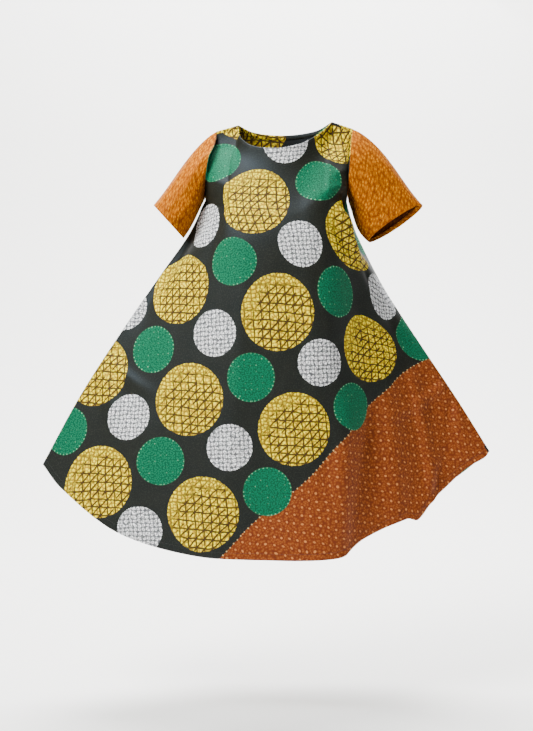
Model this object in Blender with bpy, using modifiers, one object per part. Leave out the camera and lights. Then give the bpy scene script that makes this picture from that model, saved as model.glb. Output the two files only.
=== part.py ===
"""Flared wax print dress with set-in short sleeves, in the hollow shape it takes when worn.

Four cloth walls, each sewn piece its own solid: front, back, sleeve_left, sleeve_right.
Metres, +Z up. The wearer's front looks along -Y, and +X is on the viewer's right.
The origin is the middle of the neck opening, at the height of the neck points, where
the dress rests on the shoulders.
"""
from collections import namedtuple
import math

import bpy
from mathutils import Vector

COLLECTION = "ankara_wax_print_dress"

# ---------------------------------------------------------------- driving sizes, in metres
CLOTH_WALL = 0.002
SEAM_GAP = 0.0003
UNDERARM_CLEARANCE = 0.0035
NECK_WIDTH = 0.228
NECK_DROP_FRONT = 0.063
NECK_DROP_BACK = 0.026
SHOULDER_SEAM = 0.056
HEM_DROP = 1.040

# ---------------------------------------------------------------- mesh fineness
ROWS = 30
STRAP_COLUMNS = 4
NECK_COLUMNS = 22
SLEEVE_COLUMNS = 13
SLEEVE_ROWS = 8
# How much the shoulder columns crowd towards the side seams: 1 is even.
STRAP_CROWDING = 1.6

# Share of a panel's width that each shoulder takes, and of its side that the armhole takes.
STRAP_SHARE = 0.17
ARMHOLE_SHARE = 0.19

# ---------------------------------------------------------------- edges of the panels
NECK_LEFT = Vector((-NECK_WIDTH / 2, 0.0, -0.004))
NECK_RIGHT = Vector((NECK_WIDTH / 2, 0.0, 0.004))
SHOULDER_LEFT = NECK_LEFT + SHOULDER_SEAM * Vector((-0.96, 0.0, -0.27))
SHOULDER_RIGHT = NECK_RIGHT + SHOULDER_SEAM * Vector((0.91, 0.0, -0.30))
UNDERARM_LEFT = Vector((-0.196, 0.012, -0.187))
UNDERARM_RIGHT = Vector((0.152, 0.020, -0.190))
CORNER_LEFT = Vector((-0.600, 0.000, -0.836))
CORNER_RIGHT = Vector((0.515, 0.060, -0.811))

NECKLINE = {
    "front": [NECK_LEFT, (-0.109, -0.034, -0.034), (-0.080, -0.060, -0.056),
              (-0.025, -0.075, -NECK_DROP_FRONT), (0.030, -0.070, -0.054),
              (0.069, -0.050, -0.035), (0.094, -0.028, -0.016), NECK_RIGHT],
    "back": [NECK_LEFT, (-0.075, 0.032, -0.020), (0.0, 0.046, -NECK_DROP_BACK),
             (0.075, 0.032, -0.016), NECK_RIGHT],
}
ARMHOLE = {
    ("front", "left"): [SHOULDER_LEFT, (-0.172, -0.034, -0.053), (-0.184, -0.056, -0.082),
                        (-0.191, -0.056, -0.125), UNDERARM_LEFT],
    ("front", "right"): [SHOULDER_RIGHT, (0.159, -0.034, -0.053), (0.155, -0.052, -0.092),
                         (0.152, -0.045, -0.140), UNDERARM_RIGHT],
    ("back", "left"): [SHOULDER_LEFT, (-0.170, 0.030, -0.056), (-0.172, 0.054, -0.100),
                       (-0.182, 0.052, -0.145), UNDERARM_LEFT],
    ("back", "right"): [SHOULDER_RIGHT, (0.160, 0.032, -0.056), (0.154, 0.056, -0.100),
                        (0.150, 0.056, -0.148), UNDERARM_RIGHT],
}
SIDE_SEAM = {
    "left": [UNDERARM_LEFT, (-0.236, 0.015, -0.268), (-0.302, 0.010, -0.362),
             (-0.400, 0.000, -0.503), (-0.506, 0.000, -0.666), CORNER_LEFT],
    "right": [UNDERARM_RIGHT, (0.164, 0.030, -0.232), (0.184, 0.040, -0.282),
              (0.247, 0.055, -0.401), (0.336, 0.060, -0.537), (0.437, 0.060, -0.687),
              CORNER_RIGHT],
}
HEM = {
    "front": [CORNER_LEFT, (-0.553, 0.0, -0.890), (-0.417, 0.0, -0.982), (-0.243, 0.0, -1.029),
              (-0.037, 0.0, -HEM_DROP), (0.108, 0.0, -1.039), (0.146, 0.0, -1.031),
              (0.200, 0.0, -0.996), (0.296, 0.0, -0.961), (0.323, 0.0, -0.967),
              (0.366, 0.0, -0.925), (0.418, 0.0, -0.881), (0.456, 0.0, -0.851),
              (0.500, 0.0, -0.828), CORNER_RIGHT],
    "back": [CORNER_LEFT, (-0.480, 0.0, -0.935), (-0.250, 0.0, -1.012), (-0.020, 0.0, -1.030),
             (0.200, 0.0, -1.005), (0.400, 0.0, -0.905), CORNER_RIGHT],
}

# Cross sections from neck to hem. down: share of the way to the hem. depth: Y of the section's
# foremost (or rearmost) line. crest: share of the width where that line lies. fall_left and
# fall_right: how soon the cloth falls back from it to each side; under 1 is a full, round
# side, over 1 a side drawn taut.
Section = namedtuple("Section", "down depth crest fall_left fall_right")
SECTIONS = {
    "front": [Section(0.00, -0.080, 0.47, 1.10, 1.10),
              Section(0.08, -0.104, 0.47, 1.00, 1.00),
              Section(0.20, -0.142, 0.48, 0.80, 0.55),
              Section(0.30, -0.152, 0.49, 0.95, 0.50),
              Section(0.45, -0.158, 0.50, 1.15, 0.95),
              Section(0.60, -0.166, 0.50, 1.25, 1.60),
              Section(0.80, -0.178, 0.50, 1.30, 2.20),
              Section(1.00, -0.190, 0.50, 1.30, 2.50)],
    "back": [Section(0.00, 0.046, 0.50, 1.00, 1.00),
             Section(0.08, 0.084, 0.50, 0.90, 0.90),
             Section(0.18, 0.106, 0.50, 0.70, 0.70),
             Section(0.30, 0.106, 0.50, 0.75, 0.65),
             Section(0.45, 0.120, 0.49, 1.10, 0.90),
             Section(0.65, 0.142, 0.48, 1.40, 1.20),
             Section(1.00, 0.170, 0.47, 1.60, 1.40)],
}
# How square the cross sections' shoulders are: 2 is an ellipse.
SECTION_POWER = 2.1
# The step at which an edge's direction is measured, as a share of the panel.
EDGE_STEP = 0.03
# The neckline's own depth gives way to the sections' over this share of the length.
NECK_REACH = 0.15

# The largest folds: each is a soft ridge (height above zero) or trough from one place on the
# panel to another. across and down are shares of the width and length.
Fold = namedtuple("Fold", "name across_0 down_0 across_1 down_1 width height")
FOLDS = {
    "front": [Fold("left_drag", 0.10, 0.20, 0.03, 0.52, 0.022, 0.008),
              Fold("right_drag", 0.90, 0.14, 0.94, 0.55, 0.018, 0.010),
              Fold("band_ridge", 0.715, 0.25, 0.633, 1.00, 0.032, 0.013),
              Fold("band_trough", 0.860, 0.25, 0.697, 1.00, 0.032, -0.013),
              Fold("corner_step", 0.92, 0.62, 0.825, 1.00, 0.016, 0.012)],
    "back": [Fold("middle_left", 0.36, 0.25, 0.28, 1.00, 0.050, 0.012),
             Fold("middle", 0.50, 0.30, 0.52, 1.00, 0.045, -0.014),
             Fold("middle_right", 0.64, 0.22, 0.74, 1.00, 0.050, 0.013),
             Fold("left_drag", 0.12, 0.20, 0.05, 0.55, 0.026, 0.008),
             Fold("right_drag", 0.88, 0.20, 0.94, 0.58, 0.026, 0.008)],
}
# A fold rises and dies away over this share of its length, and is flat at the side seams,
# over this share of the panel's width.
FOLD_FADE = 0.3
SEAM_QUIET = 0.05

# Sleeves: the cuff is an oval round cuff_centre. long_half and deep_half are its two half
# widths, long_way the direction from its top to its underarm end, back_drop how far the rear
# of the oval lies below the front. cap is how far the sleeve head stands out past the seam,
# and sag how far the cloth under the arm hangs off the straight way to the cuff.
Sleeve = namedtuple(
    "Sleeve", "side outward cuff_centre long_half deep_half long_way back_drop cap sag")
SLEEVES = [
    Sleeve("left", -1.0, Vector((-0.285, 0.000, -0.237)), 0.053, 0.070,
           Vector((0.67, 0.0, -0.74)), 0.004, Vector((-0.042, 0.0, 0.054)),
           Vector((0.020, 0.0, -0.004))),
    Sleeve("right", 1.0, Vector((0.2705, 0.004, -0.2415)), 0.078, 0.052,
           Vector((-0.84, 0.0, -0.545)), 0.017, Vector((0.070, 0.0, 0.070)),
           Vector((-0.063, 0.0, -0.014))),
]

# ---------------------------------------------------------------- colours
DARK_GROUND = (0.022, 0.026, 0.030, 1.0)
ORANGE_PRINT = (0.55, 0.17, 0.02, 1.0)


def smooth_step(value):
    """Ease from 0 to 1 as value goes from 0 to 1."""
    value = min(max(value, 0.0), 1.0)
    return value * value * (3.0 - 2.0 * value)


def smooth_through(stations, values, place):
    """Read a smooth curve through values given at rising stations."""
    last = len(stations) - 1
    span = 0
    while span < last - 1 and place > stations[span + 1]:
        span += 1
    start, end = stations[span], stations[span + 1]

    def slope(index):
        before, after = max(index - 1, 0), min(index + 1, last)
        return (values[after] - values[before]) / (stations[after] - stations[before])

    step = end - start
    t = (place - start) / step
    return (values[span] * (1 + 2 * t) * (1 - t) ** 2 + slope(span) * step * t * (1 - t) ** 2
            + values[span + 1] * t * t * (3 - 2 * t) + slope(span + 1) * step * t * t * (t - 1))


class SmoothCurve:
    """A smooth curve through a few points, read by its share of the length."""

    def __init__(self, points):
        self.points = [Vector(point) for point in points]
        self.stations = [0.0]
        for before, after in zip(self.points, self.points[1:]):
            self.stations.append(self.stations[-1] + (after - before).length)

    def at(self, share):
        place = share * self.stations[-1]
        return Vector([smooth_through(self.stations, [point[axis] for point in self.points], place)
                       for axis in range(3)])


class Panel:
    """One body panel: a patch stretched between its top, side and hem edges."""

    def __init__(self, name):
        self.name = name
        self.outward = -1.0 if name == "front" else 1.0
        self.neckline = SmoothCurve(NECKLINE[name])
        self.hem = SmoothCurve(HEM[name])
        self.armhole = {side: SmoothCurve(ARMHOLE[name, side]) for side in ("left", "right")}
        self.side_seam = {side: SmoothCurve(SIDE_SEAM[side]) for side in ("left", "right")}
        self.downs = [section.down for section in SECTIONS[name]]

    def top_edge(self, across):
        if across < STRAP_SHARE:
            return SHOULDER_LEFT.lerp(NECK_LEFT, across / STRAP_SHARE)
        if across > 1 - STRAP_SHARE:
            return SHOULDER_RIGHT.lerp(NECK_RIGHT, (1 - across) / STRAP_SHARE)
        return self.neckline.at((across - STRAP_SHARE) / (1 - 2 * STRAP_SHARE))

    def side_edge(self, side, down):
        if down < ARMHOLE_SHARE:
            return self.armhole[side].at(down / ARMHOLE_SHARE)
        return self.side_seam[side].at((down - ARMHOLE_SHARE) / (1 - ARMHOLE_SHARE))

    def section_value(self, column, down):
        values = [getattr(section, column) for section in SECTIONS[self.name]]
        return smooth_through(self.downs, values, down)

    def depth(self, across, down, left, right):
        """Y of the cloth, from the cross sections."""
        crest = self.section_value("crest", down)
        if across < crest:
            side, turn = left.y, (crest - across) / crest
            fall = self.section_value("fall_left", down)
        else:
            side, turn = right.y, (across - crest) / (1 - crest)
            fall = self.section_value("fall_right", down)
        fullness = max(1 - turn ** SECTION_POWER, 0.0) ** fall
        return side + (self.section_value("depth", down) - side) * fullness

    def fold_lift(self, across, down, width_here):
        """How far the folds lift the cloth off its plain form."""
        lift = 0.0
        for fold in FOLDS[self.name]:
            along = (down - fold.down_0) / (fold.down_1 - fold.down_0)
            if along <= 0.0:
                continue
            line = fold.across_0 + (fold.across_1 - fold.across_0) * min(along, 1.0)
            offset = (across - line) * width_here / fold.width
            ends = smooth_step(along / FOLD_FADE)
            if fold.down_1 < 1.0:
                ends *= smooth_step((1.0 - along) / FOLD_FADE)
            lift += fold.height * ends * math.exp(-offset * offset)
        quiet = smooth_step(across / SEAM_QUIET) * smooth_step((1 - across) / SEAM_QUIET)
        return lift * quiet

    def point(self, across, down):
        top, hem = self.top_edge(across), self.hem.at(across)
        left, right = self.side_edge("left", down), self.side_edge("right", down)
        place = (top.lerp(hem, down) + left.lerp(right, across)
                 - SHOULDER_LEFT.lerp(SHOULDER_RIGHT, across).lerp(
                     CORNER_LEFT.lerp(CORNER_RIGHT, across), down))
        blend = smooth_step(down / NECK_REACH)
        place.y = top.y + (self.depth(across, down, left, right) - top.y) * blend
        if across <= 0.0 or across >= 1.0:
            place.y = (left if across <= 0.0 else right).y
        place.y += self.outward * self.fold_lift(across, down, (right - left).length)
        place.y += self.outward * SEAM_GAP / 2
        return place

    def edge_facing(self, side, down):
        """How much the wall at a side edge looks sideways, from 0 to 1."""
        edge, inner = (0.0, EDGE_STEP) if side == "left" else (1.0, 1 - EDGE_STEP)
        above, below = max(down - EDGE_STEP, 0.0), down + EDGE_STEP
        across_way = self.point(inner, down) - self.point(edge, down)
        down_way = self.point(edge, below) - self.point(edge, above)
        return abs(across_way.cross(down_way).normalized().x)


def column_shares():
    """Shares of the width where the columns stand, closer together at the side seams."""
    straps = [STRAP_SHARE * (step / STRAP_COLUMNS) ** STRAP_CROWDING
              for step in range(STRAP_COLUMNS)]
    middle = [STRAP_SHARE + (1 - 2 * STRAP_SHARE) * step / NECK_COLUMNS
              for step in range(NECK_COLUMNS + 1)]
    return straps + middle + [1 - share for share in reversed(straps)]


def new_material(name, colour, roughness):
    material = bpy.data.materials.new(name)
    material.use_nodes = True
    shader = material.node_tree.nodes["Principled BSDF"]
    shader.inputs["Base Color"].default_value = colour
    shader.inputs["Roughness"].default_value = roughness
    shader.inputs["Metallic"].default_value = 0.0
    return material


def new_cloth(name, rings, closed, flip, colour, roughness, collection):
    """A cloth wall from rows of points, thickened outwards."""
    count = len(rings[0])
    spans = count if closed else count - 1
    faces = []
    for row in range(len(rings) - 1):
        for column in range(spans):
            following = (column + 1) % count
            face = [row * count + column, (row + 1) * count + column,
                    (row + 1) * count + following, row * count + following]
            faces.append(face[::-1] if flip else face)
    mesh = bpy.data.meshes.new(name)
    mesh.from_pydata([point for ring in rings for point in ring], [], faces)
    mesh.shade_smooth()
    cloth = bpy.data.objects.new(name, mesh)
    cloth.data.materials.append(new_material(name + "_cloth", colour, roughness))
    wall = cloth.modifiers.new("cloth wall", "SOLIDIFY")
    wall.thickness = CLOTH_WALL
    wall.offset = 1.0
    collection.objects.link(cloth)
    return cloth


def build_panel(panel, collection):
    rings = [[panel.point(across, row / ROWS) for across in column_shares()]
             for row in range(ROWS + 1)]
    flip = panel.name == "back"
    return new_cloth(panel.name, rings, False, flip, DARK_GROUND, 0.55, collection)


def armhole_ring(sleeve, panels):
    """Points round the armhole from the shoulder, down the front and up the back.

    They stand off the panel's edge by the seam gap, and past the panel's own wall where
    that faces the sleeve.
    """
    ring = []
    for name in ("front", "back"):
        steps = range(SLEEVE_COLUMNS) if name == "front" else range(SLEEVE_COLUMNS, 0, -1)
        for step in steps:
            share = step / SLEEVE_COLUMNS
            point = panels[name].armhole[sleeve.side].at(share)
            facing = panels[name].edge_facing(sleeve.side, share * ARMHOLE_SHARE)
            clearance = SEAM_GAP + CLOTH_WALL * facing + UNDERARM_CLEARANCE * share ** 3
            point.x += sleeve.outward * clearance
            ring.append(point)
    return ring


def cuff_point(sleeve, turn):
    """A point of the cuff's oval; turn runs once round from its top, front first."""
    angle = 2 * math.pi * turn
    back_way = Vector((0.0, 1.0, -sleeve.back_drop / sleeve.deep_half)).normalized()
    return (sleeve.cuff_centre - sleeve.long_way.normalized() * sleeve.long_half * math.cos(angle)
            - back_way * sleeve.deep_half * math.sin(angle))


def build_sleeve(sleeve, panels, collection):
    head = armhole_ring(sleeve, panels)
    rings = []
    for row in range(SLEEVE_ROWS + 1):
        t = row / SLEEVE_ROWS
        ring = []
        for column, start in enumerate(head):
            turn = column / len(head)
            end = cuff_point(sleeve, turn)
            upright = math.cos(2 * math.pi * turn)
            rise = sleeve.cap * max(upright, 0.0) * t * (1 - t) ** 2
            fall = sleeve.sag * max(-upright, 0.0) * t * t * (1 - t)
            ring.append(start.lerp(end, t) + rise + fall)
        rings.append(ring)
    flip = sleeve.side == "right"
    return new_cloth("sleeve_" + sleeve.side, rings, True, flip, ORANGE_PRINT, 0.6, collection)


def main():
    for old in list(bpy.data.objects):
        bpy.data.objects.remove(old, do_unlink=True)
    collection = bpy.data.collections.new(COLLECTION)
    bpy.context.scene.collection.children.link(collection)
    panels = {name: Panel(name) for name in ("front", "back")}
    for panel in panels.values():
        build_panel(panel, collection)
    for sleeve in SLEEVES:
        build_sleeve(sleeve, panels, collection)


main()
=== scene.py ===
"""Looks of the flared wax print dress: printed cloth, turned hems, stitches, light and camera.

Every sheet of cloth is a thin shell on the form of its solid, with its creases placed one
by one. The print lies on the cloth as it was cut: each sheet carries its flat cut as a UV map
in metres, and the print is drawn on that.
"""
from collections import namedtuple
import math

import bpy
import numpy as np
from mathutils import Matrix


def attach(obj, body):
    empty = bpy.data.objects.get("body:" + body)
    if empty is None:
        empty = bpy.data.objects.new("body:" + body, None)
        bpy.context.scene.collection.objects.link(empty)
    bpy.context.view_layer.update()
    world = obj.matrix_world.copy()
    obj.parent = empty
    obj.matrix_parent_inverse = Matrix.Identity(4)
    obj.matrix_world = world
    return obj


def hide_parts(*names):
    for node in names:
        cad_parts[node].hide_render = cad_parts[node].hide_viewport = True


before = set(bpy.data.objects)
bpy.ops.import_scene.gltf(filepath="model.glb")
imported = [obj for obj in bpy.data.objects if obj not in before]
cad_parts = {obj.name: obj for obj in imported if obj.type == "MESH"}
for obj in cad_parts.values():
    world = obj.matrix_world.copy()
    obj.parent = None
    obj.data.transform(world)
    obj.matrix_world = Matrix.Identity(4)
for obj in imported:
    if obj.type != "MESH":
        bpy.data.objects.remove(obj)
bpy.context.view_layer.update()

# ================================================================ form of the panels, in metres
NECK_WIDTH = 0.228
NECK_DROP_FRONT = 0.063
NECK_DROP_BACK = 0.026
SHOULDER_SEAM = 0.056
HEM_DROP = 1.040
SEAM_GAP = 0.0003
UNDERARM_CLEARANCE = 0.0035

# Share of a panel's width that each shoulder takes, and of its side that the armhole takes.
STRAP_SHARE = 0.17
ARMHOLE_SHARE = 0.19


def place(x, y, z):
    """A point, or a way, in metres."""
    return np.array([x, y, z], dtype=float)


NECK_LEFT = place(-NECK_WIDTH / 2, 0.0, -0.004)
NECK_RIGHT = place(NECK_WIDTH / 2, 0.0, 0.004)
SHOULDER_LEFT = NECK_LEFT + SHOULDER_SEAM * place(-0.96, 0.0, -0.27)
SHOULDER_RIGHT = NECK_RIGHT + SHOULDER_SEAM * place(0.91, 0.0, -0.30)
UNDERARM_LEFT = place(-0.196, 0.012, -0.187)
UNDERARM_RIGHT = place(0.152, 0.020, -0.190)
CORNER_LEFT = place(-0.600, 0.000, -0.836)
CORNER_RIGHT = place(0.515, 0.060, -0.811)

NECKLINE = {
    "front": [NECK_LEFT, (-0.109, -0.034, -0.034), (-0.080, -0.060, -0.056),
              (-0.025, -0.075, -NECK_DROP_FRONT), (0.030, -0.070, -0.054),
              (0.069, -0.050, -0.035), (0.094, -0.028, -0.016), NECK_RIGHT],
    "back": [NECK_LEFT, (-0.075, 0.032, -0.020), (0.0, 0.046, -NECK_DROP_BACK),
             (0.075, 0.032, -0.016), NECK_RIGHT],
}
ARMHOLE = {
    ("front", "left"): [SHOULDER_LEFT, (-0.172, -0.034, -0.053), (-0.184, -0.056, -0.082),
                        (-0.191, -0.056, -0.125), UNDERARM_LEFT],
    ("front", "right"): [SHOULDER_RIGHT, (0.159, -0.034, -0.053), (0.155, -0.052, -0.092),
                         (0.152, -0.045, -0.140), UNDERARM_RIGHT],
    ("back", "left"): [SHOULDER_LEFT, (-0.170, 0.030, -0.056), (-0.172, 0.054, -0.100),
                       (-0.182, 0.052, -0.145), UNDERARM_LEFT],
    ("back", "right"): [SHOULDER_RIGHT, (0.160, 0.032, -0.056), (0.154, 0.056, -0.100),
                        (0.150, 0.056, -0.148), UNDERARM_RIGHT],
}
SIDE_SEAM = {
    "left": [UNDERARM_LEFT, (-0.236, 0.015, -0.268), (-0.302, 0.010, -0.362),
             (-0.400, 0.000, -0.503), (-0.506, 0.000, -0.666), CORNER_LEFT],
    "right": [UNDERARM_RIGHT, (0.164, 0.030, -0.232), (0.184, 0.040, -0.282),
              (0.247, 0.055, -0.401), (0.336, 0.060, -0.537), (0.437, 0.060, -0.687),
              CORNER_RIGHT],
}
HEM = {
    "front": [CORNER_LEFT, (-0.553, 0.0, -0.890), (-0.417, 0.0, -0.982), (-0.243, 0.0, -1.029),
              (-0.037, 0.0, -HEM_DROP), (0.108, 0.0, -1.039), (0.146, 0.0, -1.031),
              (0.200, 0.0, -0.996), (0.296, 0.0, -0.961), (0.323, 0.0, -0.967),
              (0.366, 0.0, -0.925), (0.418, 0.0, -0.881), (0.456, 0.0, -0.851),
              (0.500, 0.0, -0.828), CORNER_RIGHT],
    "back": [CORNER_LEFT, (-0.480, 0.0, -0.935), (-0.250, 0.0, -1.012), (-0.020, 0.0, -1.030),
             (0.200, 0.0, -1.005), (0.400, 0.0, -0.905), CORNER_RIGHT],
}

# Cross sections from neck to hem. down: share of the way to the hem. depth: Y of the section's
# foremost (or rearmost) line. crest: share of the width where that line lies. fall_left and
# fall_right: how soon the cloth falls back from it to each side.
Section = namedtuple("Section", "down depth crest fall_left fall_right")
SECTIONS = {
    "front": [Section(0.00, -0.080, 0.47, 1.10, 1.10),
              Section(0.08, -0.104, 0.47, 1.00, 1.00),
              Section(0.20, -0.142, 0.48, 0.80, 0.55),
              Section(0.30, -0.152, 0.49, 0.95, 0.50),
              Section(0.45, -0.158, 0.50, 1.15, 0.95),
              Section(0.60, -0.166, 0.50, 1.25, 1.60),
              Section(0.80, -0.178, 0.50, 1.30, 2.20),
              Section(1.00, -0.190, 0.50, 1.30, 2.50)],
    "back": [Section(0.00, 0.046, 0.50, 1.00, 1.00),
             Section(0.08, 0.084, 0.50, 0.90, 0.90),
             Section(0.18, 0.106, 0.50, 0.70, 0.70),
             Section(0.30, 0.106, 0.50, 0.75, 0.65),
             Section(0.45, 0.120, 0.49, 1.10, 0.90),
             Section(0.65, 0.142, 0.48, 1.40, 1.20),
             Section(1.00, 0.170, 0.47, 1.60, 1.40)],
}
# How square the cross sections' shoulders are: 2 is an ellipse.
SECTION_POWER = 2.1
# The step at which an edge's direction is measured, as a share of the panel.
EDGE_STEP = 0.03
# The neckline's own depth gives way to the sections' over this share of the length.
NECK_REACH = 0.15

# The largest folds, as on the solids: ridges (height above zero) and troughs. across and
# down are shares of the width and length.
Fold = namedtuple("Fold", "name across_0 down_0 across_1 down_1 width height")
FOLDS = {
    "front": [Fold("left_drag", 0.10, 0.20, 0.03, 0.52, 0.022, 0.008),
              Fold("right_drag", 0.90, 0.14, 0.94, 0.55, 0.018, 0.010),
              Fold("band_ridge", 0.715, 0.25, 0.633, 1.00, 0.032, 0.013),
              Fold("band_trough", 0.860, 0.25, 0.697, 1.00, 0.032, -0.013),
              Fold("corner_step", 0.92, 0.62, 0.825, 1.00, 0.016, 0.012)],
    "back": [Fold("middle_left", 0.36, 0.25, 0.28, 1.00, 0.050, 0.012),
             Fold("middle", 0.50, 0.30, 0.52, 1.00, 0.045, -0.014),
             Fold("middle_right", 0.64, 0.22, 0.74, 1.00, 0.050, 0.013),
             Fold("left_drag", 0.12, 0.20, 0.05, 0.55, 0.026, 0.008),
             Fold("right_drag", 0.88, 0.20, 0.94, 0.58, 0.026, 0.008)],
}

# A fold rises and dies away over this share of its length, and is flat at the side seams,
# over this share of the panel's width.
FOLD_FADE = 0.3
SEAM_QUIET = 0.05

# Sleeves: the cuff is an oval round cuff_centre. long_half and deep_half are its two half
# widths, long_way the direction from its top to its underarm end, back_drop how far the rear
# of the oval lies below the front. cap is how far the sleeve head stands out past the seam,
# and sag how far the cloth under the arm hangs off the straight way to the cuff.
Sleeve = namedtuple(
    "Sleeve", "side outward cuff_centre long_half deep_half long_way back_drop cap sag")
SLEEVES = [
    Sleeve("left", -1.0, place(-0.285, 0.000, -0.237), 0.053, 0.070,
           place(0.67, 0.0, -0.74), 0.004, place(-0.042, 0.0, 0.054),
           place(0.020, 0.0, -0.004)),
    Sleeve("right", 1.0, place(0.2705, 0.004, -0.2415), 0.078, 0.052,
           place(-0.84, 0.0, -0.545), 0.017, place(0.070, 0.0, 0.070),
           place(-0.063, 0.0, -0.014)),
]

# ================================================================ creases and finish of the cloth
# Soft creases: from (x_0, z_0) to (x_1, z_1) as seen straight on, bowed sideways, with a width
# and a height, and how much of the length each end takes to fade.
Crease = namedtuple("Crease", "x_0 z_0 x_1 z_1 bow width height fade_0 fade_1")
CREASES = {
    "front": [
        # drags from the left armpit to where the left side is held out
        Crease(-0.190, -0.185, -0.420, -0.530, -0.010, 0.010, 0.0067, 0.20, 0.45),
        Crease(-0.172, -0.205, -0.360, -0.500, -0.012, 0.014, -0.0060, 0.25, 0.50),
        Crease(-0.150, -0.250, -0.330, -0.560, -0.016, 0.020, 0.0045, 0.30, 0.50),
        # drags from the right armpit and bust to where the right side is held out
        Crease(0.118, -0.205, 0.400, -0.640, 0.030, 0.010, 0.0090, 0.20, 0.45),
        Crease(0.100, -0.230, 0.330, -0.620, 0.020, 0.016, -0.0075, 0.20, 0.50),
        Crease(0.140, -0.200, 0.215, -0.400, 0.010, 0.008, -0.0075, 0.30, 0.40),
        # soft lengthwise folds below the bust
        Crease(-0.105, -0.300, -0.180, -1.035, 0.020, 0.030, 0.0060, 0.40, 0.05),
        Crease(0.045, -0.290, 0.070, -1.040, 0.012, 0.028, 0.0060, 0.40, 0.05),
        Crease(0.150, -0.640, 0.105, -1.040, 0.004, 0.026, 0.0080, 0.40, 0.05),
        Crease(0.226, -0.640, 0.168, -1.015, 0.004, 0.024, -0.0130, 0.40, 0.05),
        Crease(-0.020, -0.550, -0.040, -1.040, -0.010, 0.040, -0.0045, 0.50, 0.05),
        Crease(0.235, -0.560, 0.265, -0.990, 0.010, 0.026, 0.0075, 0.40, 0.10),
        Crease(-0.330, -0.640, -0.390, -0.990, 0.012, 0.040, 0.0053, 0.45, 0.10),
        # below the held place on the right, and drags round both held places
        Crease(0.425, -0.690, 0.318, -0.962, 0.012, 0.015, 0.0050, 0.35, 0.05),
        Crease(0.420, -0.670, 0.370, -0.910, 0.006, 0.013, -0.0067, 0.25, 0.10),
        Crease(0.430, -0.690, 0.455, -0.850, 0.000, 0.014, 0.0045, 0.25, 0.30),
        Crease(0.400, -0.640, 0.220, -0.720, 0.015, 0.014, 0.0053, 0.15, 0.60),
        Crease(-0.440, -0.560, -0.300, -0.660, -0.012, 0.014, 0.0053, 0.15, 0.60),
        Crease(-0.450, -0.580, -0.420, -0.800, 0.010, 0.016, 0.0053, 0.15, 0.60),
        # small strains at the armholes
        Crease(-0.186, -0.140, -0.120, -0.165, 0.006, 0.008, 0.0033, 0.20, 0.50),
        Crease(0.148, -0.150, 0.085, -0.180, -0.006, 0.008, 0.0033, 0.20, 0.50),
        Crease(0.150, -0.110, 0.110, -0.120, 0.004, 0.007, 0.0024, 0.20, 0.50),
    ],
    "back": [
        Crease(-0.190, -0.185, -0.420, -0.540, -0.010, 0.011, 0.0067, 0.20, 0.45),
        Crease(-0.165, -0.205, -0.350, -0.520, -0.012, 0.015, -0.0060, 0.25, 0.50),
        Crease(0.135, -0.205, 0.360, -0.600, 0.016, 0.012, 0.0075, 0.20, 0.45),
        Crease(0.110, -0.230, 0.300, -0.600, 0.016, 0.016, -0.0067, 0.20, 0.50),
        Crease(-0.090, -0.260, -0.160, -1.020, 0.015, 0.028, 0.0075, 0.40, 0.05),
        Crease(0.020, -0.330, 0.010, -1.030, -0.012, 0.024, -0.0075, 0.40, 0.05),
        Crease(0.090, -0.280, 0.190, -1.000, 0.020, 0.030, 0.0075, 0.40, 0.05),
        Crease(-0.300, -0.600, -0.380, -0.960, 0.012, 0.034, 0.0060, 0.45, 0.08),
        Crease(0.280, -0.560, 0.330, -0.930, 0.010, 0.030, 0.0060, 0.40, 0.08),
        Crease(0.420, -0.670, 0.330, -0.930, 0.010, 0.012, 0.0067, 0.25, 0.10),
        Crease(-0.450, -0.580, -0.330, -0.690, -0.012, 0.014, 0.0053, 0.15, 0.60),
        Crease(-0.180, -0.140, -0.100, -0.150, 0.006, 0.009, 0.0033, 0.20, 0.50),
        Crease(0.146, -0.140, 0.070, -0.150, -0.006, 0.009, 0.0033, 0.20, 0.50),
    ],
}
# A crease runs on a little past both ends of its line, and widens along it.
CREASE_OVERRUN = 0.08
CREASE_START_WIDTH = 0.8
CREASE_WIDENING = 0.5

# Cloth folded away in a narrow tuck: its line, seen straight on, and how much it hides. The
# line bows by TUCK_BOW, sinks by TUCK_SINK and has a low ridge beside it.
Tuck = namedtuple("Tuck", "x_0 z_0 x_1 z_1 hidden fade_0 fade_1")
TUCKS = {"front": [Tuck(0.132, -0.165, 0.212, -0.345, 0.085, 0.16, 0.42)], "back": []}
TUCK_WIDTH = 0.007
TUCK_BOW = 0.010
TUCK_SINK = 0.010
TUCK_SINK_WIDTH = 0.006
TUCK_RIDGE = 0.003
TUCK_RIDGE_WIDTH = 0.008

# Creases of a sleeve: turn is the share of the way round from its top, front first, and along
# the share of the way from the armhole to the cuff.
SleeveCrease = namedtuple("SleeveCrease", "turn_0 along_0 turn_1 along_1 width height")
SLEEVE_CREASES = [
    SleeveCrease(0.16, 0.00, 0.22, 0.55, 0.035, 0.0030),
    SleeveCrease(0.27, 0.05, 0.24, 1.00, 0.030, -0.0030),
    SleeveCrease(0.36, 0.00, 0.32, 0.80, 0.030, 0.0040),
    SleeveCrease(0.08, 0.30, 0.12, 1.00, 0.040, 0.0020),
    SleeveCrease(0.66, 0.00, 0.72, 0.90, 0.040, 0.0035),
    SleeveCrease(0.78, 0.10, 0.80, 1.00, 0.030, -0.0025),
    SleeveCrease(0.90, 0.20, 0.86, 1.00, 0.040, 0.0020),
]
SLEEVE_CREASE_FADE = 0.3

PANEL_ROWS = 196
PANEL_COLUMNS = 200
SLEEVE_ROWS = 60
SLEEVE_COLUMNS = 150
# How much closer together the columns are at the side seams: 0 is even.
COLUMN_CROWDING = 0.28
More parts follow.
